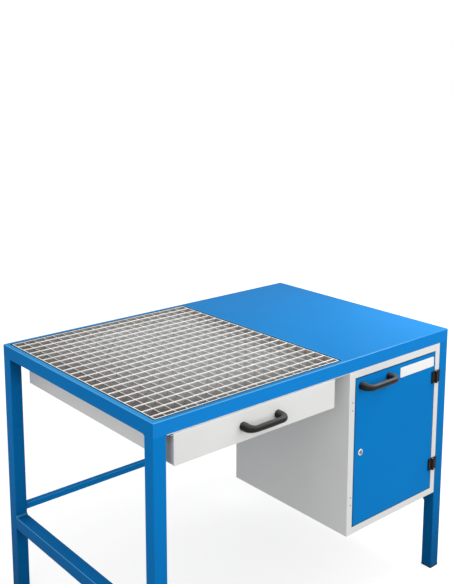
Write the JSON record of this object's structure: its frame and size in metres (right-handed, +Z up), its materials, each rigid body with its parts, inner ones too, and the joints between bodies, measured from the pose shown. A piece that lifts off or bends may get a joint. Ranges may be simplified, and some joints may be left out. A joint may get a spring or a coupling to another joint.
{
  "type": "downdraft table",
  "caption": "Steel work table with a lift-out grating over a slag drawer, a plain sheet top beside it, and a lockable locker with a hinged door below.",
  "frame": {"origin": "on the floor, in the middle of the footprint with the handles counted", "axes": "+X along the table to the end with the locker, +Y from the front with the handles to the back, +Z up"},
  "size_m": [1.2, 0.847, 0.85],
  "materials": {
    "blue_paint": "satin powder coat, mid blue",
    "grey_paint": "satin powder coat, light grey",
    "galvanised_steel": "galvanised, dull",
    "black_plastic": "fine-grained, satin",
    "zinc_plate": "bright zinc plate",
    "chrome_plate": "polished"
  },
  "bodies": {
    "frame": {"worktop": "blue_paint", "leg_front_left": "blue_paint", "leg_front_right": "blue_paint", "leg_back_left": "blue_paint", "leg_back_right": "blue_paint", "side_rail_left": "blue_paint", "side_rail_right": "blue_paint", "rear_stringer": "blue_paint", "cross_rail": "blue_paint", "worktop_rib_left": "blue_paint", "worktop_rib_right": "blue_paint", "locker_hanger_bar": "blue_paint", "ledge_front": "blue_paint", "ledge_back": "blue_paint", "ledge_left": "blue_paint", "ledge_right": "blue_paint", "foot_cap_front_left": "black_plastic", "foot_cap_front_right": "black_plastic", "foot_cap_back_left": "black_plastic", "foot_cap_back_right": "black_plastic", "drawer_tie_front": "grey_paint", "drawer_tie_back": "grey_paint", "drawer_runner_left": "grey_paint", "drawer_runner_right": "grey_paint", "locker_shell": "grey_paint", "locker_back": "grey_paint", "locker_shelf": "grey_paint", "shelf_bracket_left": "grey_paint", "shelf_bracket_right": "grey_paint", "hinge_upper_locker_leaf": "black_plastic", "hinge_lower_locker_leaf": "black_plastic", "hinge_upper_pin": "zinc_plate", "hinge_lower_pin": "zinc_plate"},
    "drawer": {"drawer_bottom": "grey_paint", "drawer_side_left": "grey_paint", "drawer_side_right": "grey_paint", "drawer_wall_front": "grey_paint", "drawer_wall_back": "grey_paint", "drawer_front": "grey_paint", "drawer_handle": "black_plastic", "drawer_handle_bolt_left": "zinc_plate", "drawer_handle_bolt_right": "zinc_plate"},
    "door": {"door_panel": "blue_paint", "door_handle": "black_plastic", "door_handle_bolt_left": "zinc_plate", "door_handle_bolt_right": "zinc_plate", "hinge_upper_door_leaf": "black_plastic", "hinge_lower_door_leaf": "black_plastic", "lock_housing": "chrome_plate", "lock_nut": "zinc_plate"},
    "lock": {"lock_barrel": "chrome_plate", "lock_cam": "zinc_plate", "lock_cam_nut": "zinc_plate"},
    "grating": {"grating": "galvanised_steel"}
  },
  "joints": [
    {"name": "drawer_slide", "type": "slide", "parent": "frame", "child": "drawer", "axis": [0, -1, 0], "range_m": [0, 0.56]},
    {"name": "door_hinge", "type": "hinge", "parent": "frame", "child": "door", "pos_m": [0.5387, -0.3818, 0.5457], "axis": [0, 0, 1], "range_deg": [0, 165]},
    {"name": "lock_turn", "type": "hinge", "parent": "door", "child": "lock", "pos_m": [0.174, -0.3765, 0.5427], "axis": [0, 1, 0], "range_deg": [0, 90]},
    {"name": "grating_lift", "type": "slide", "parent": "frame", "child": "grating", "axis": [0, 0, 1], "range_m": [0, 0.15]}
  ]
}
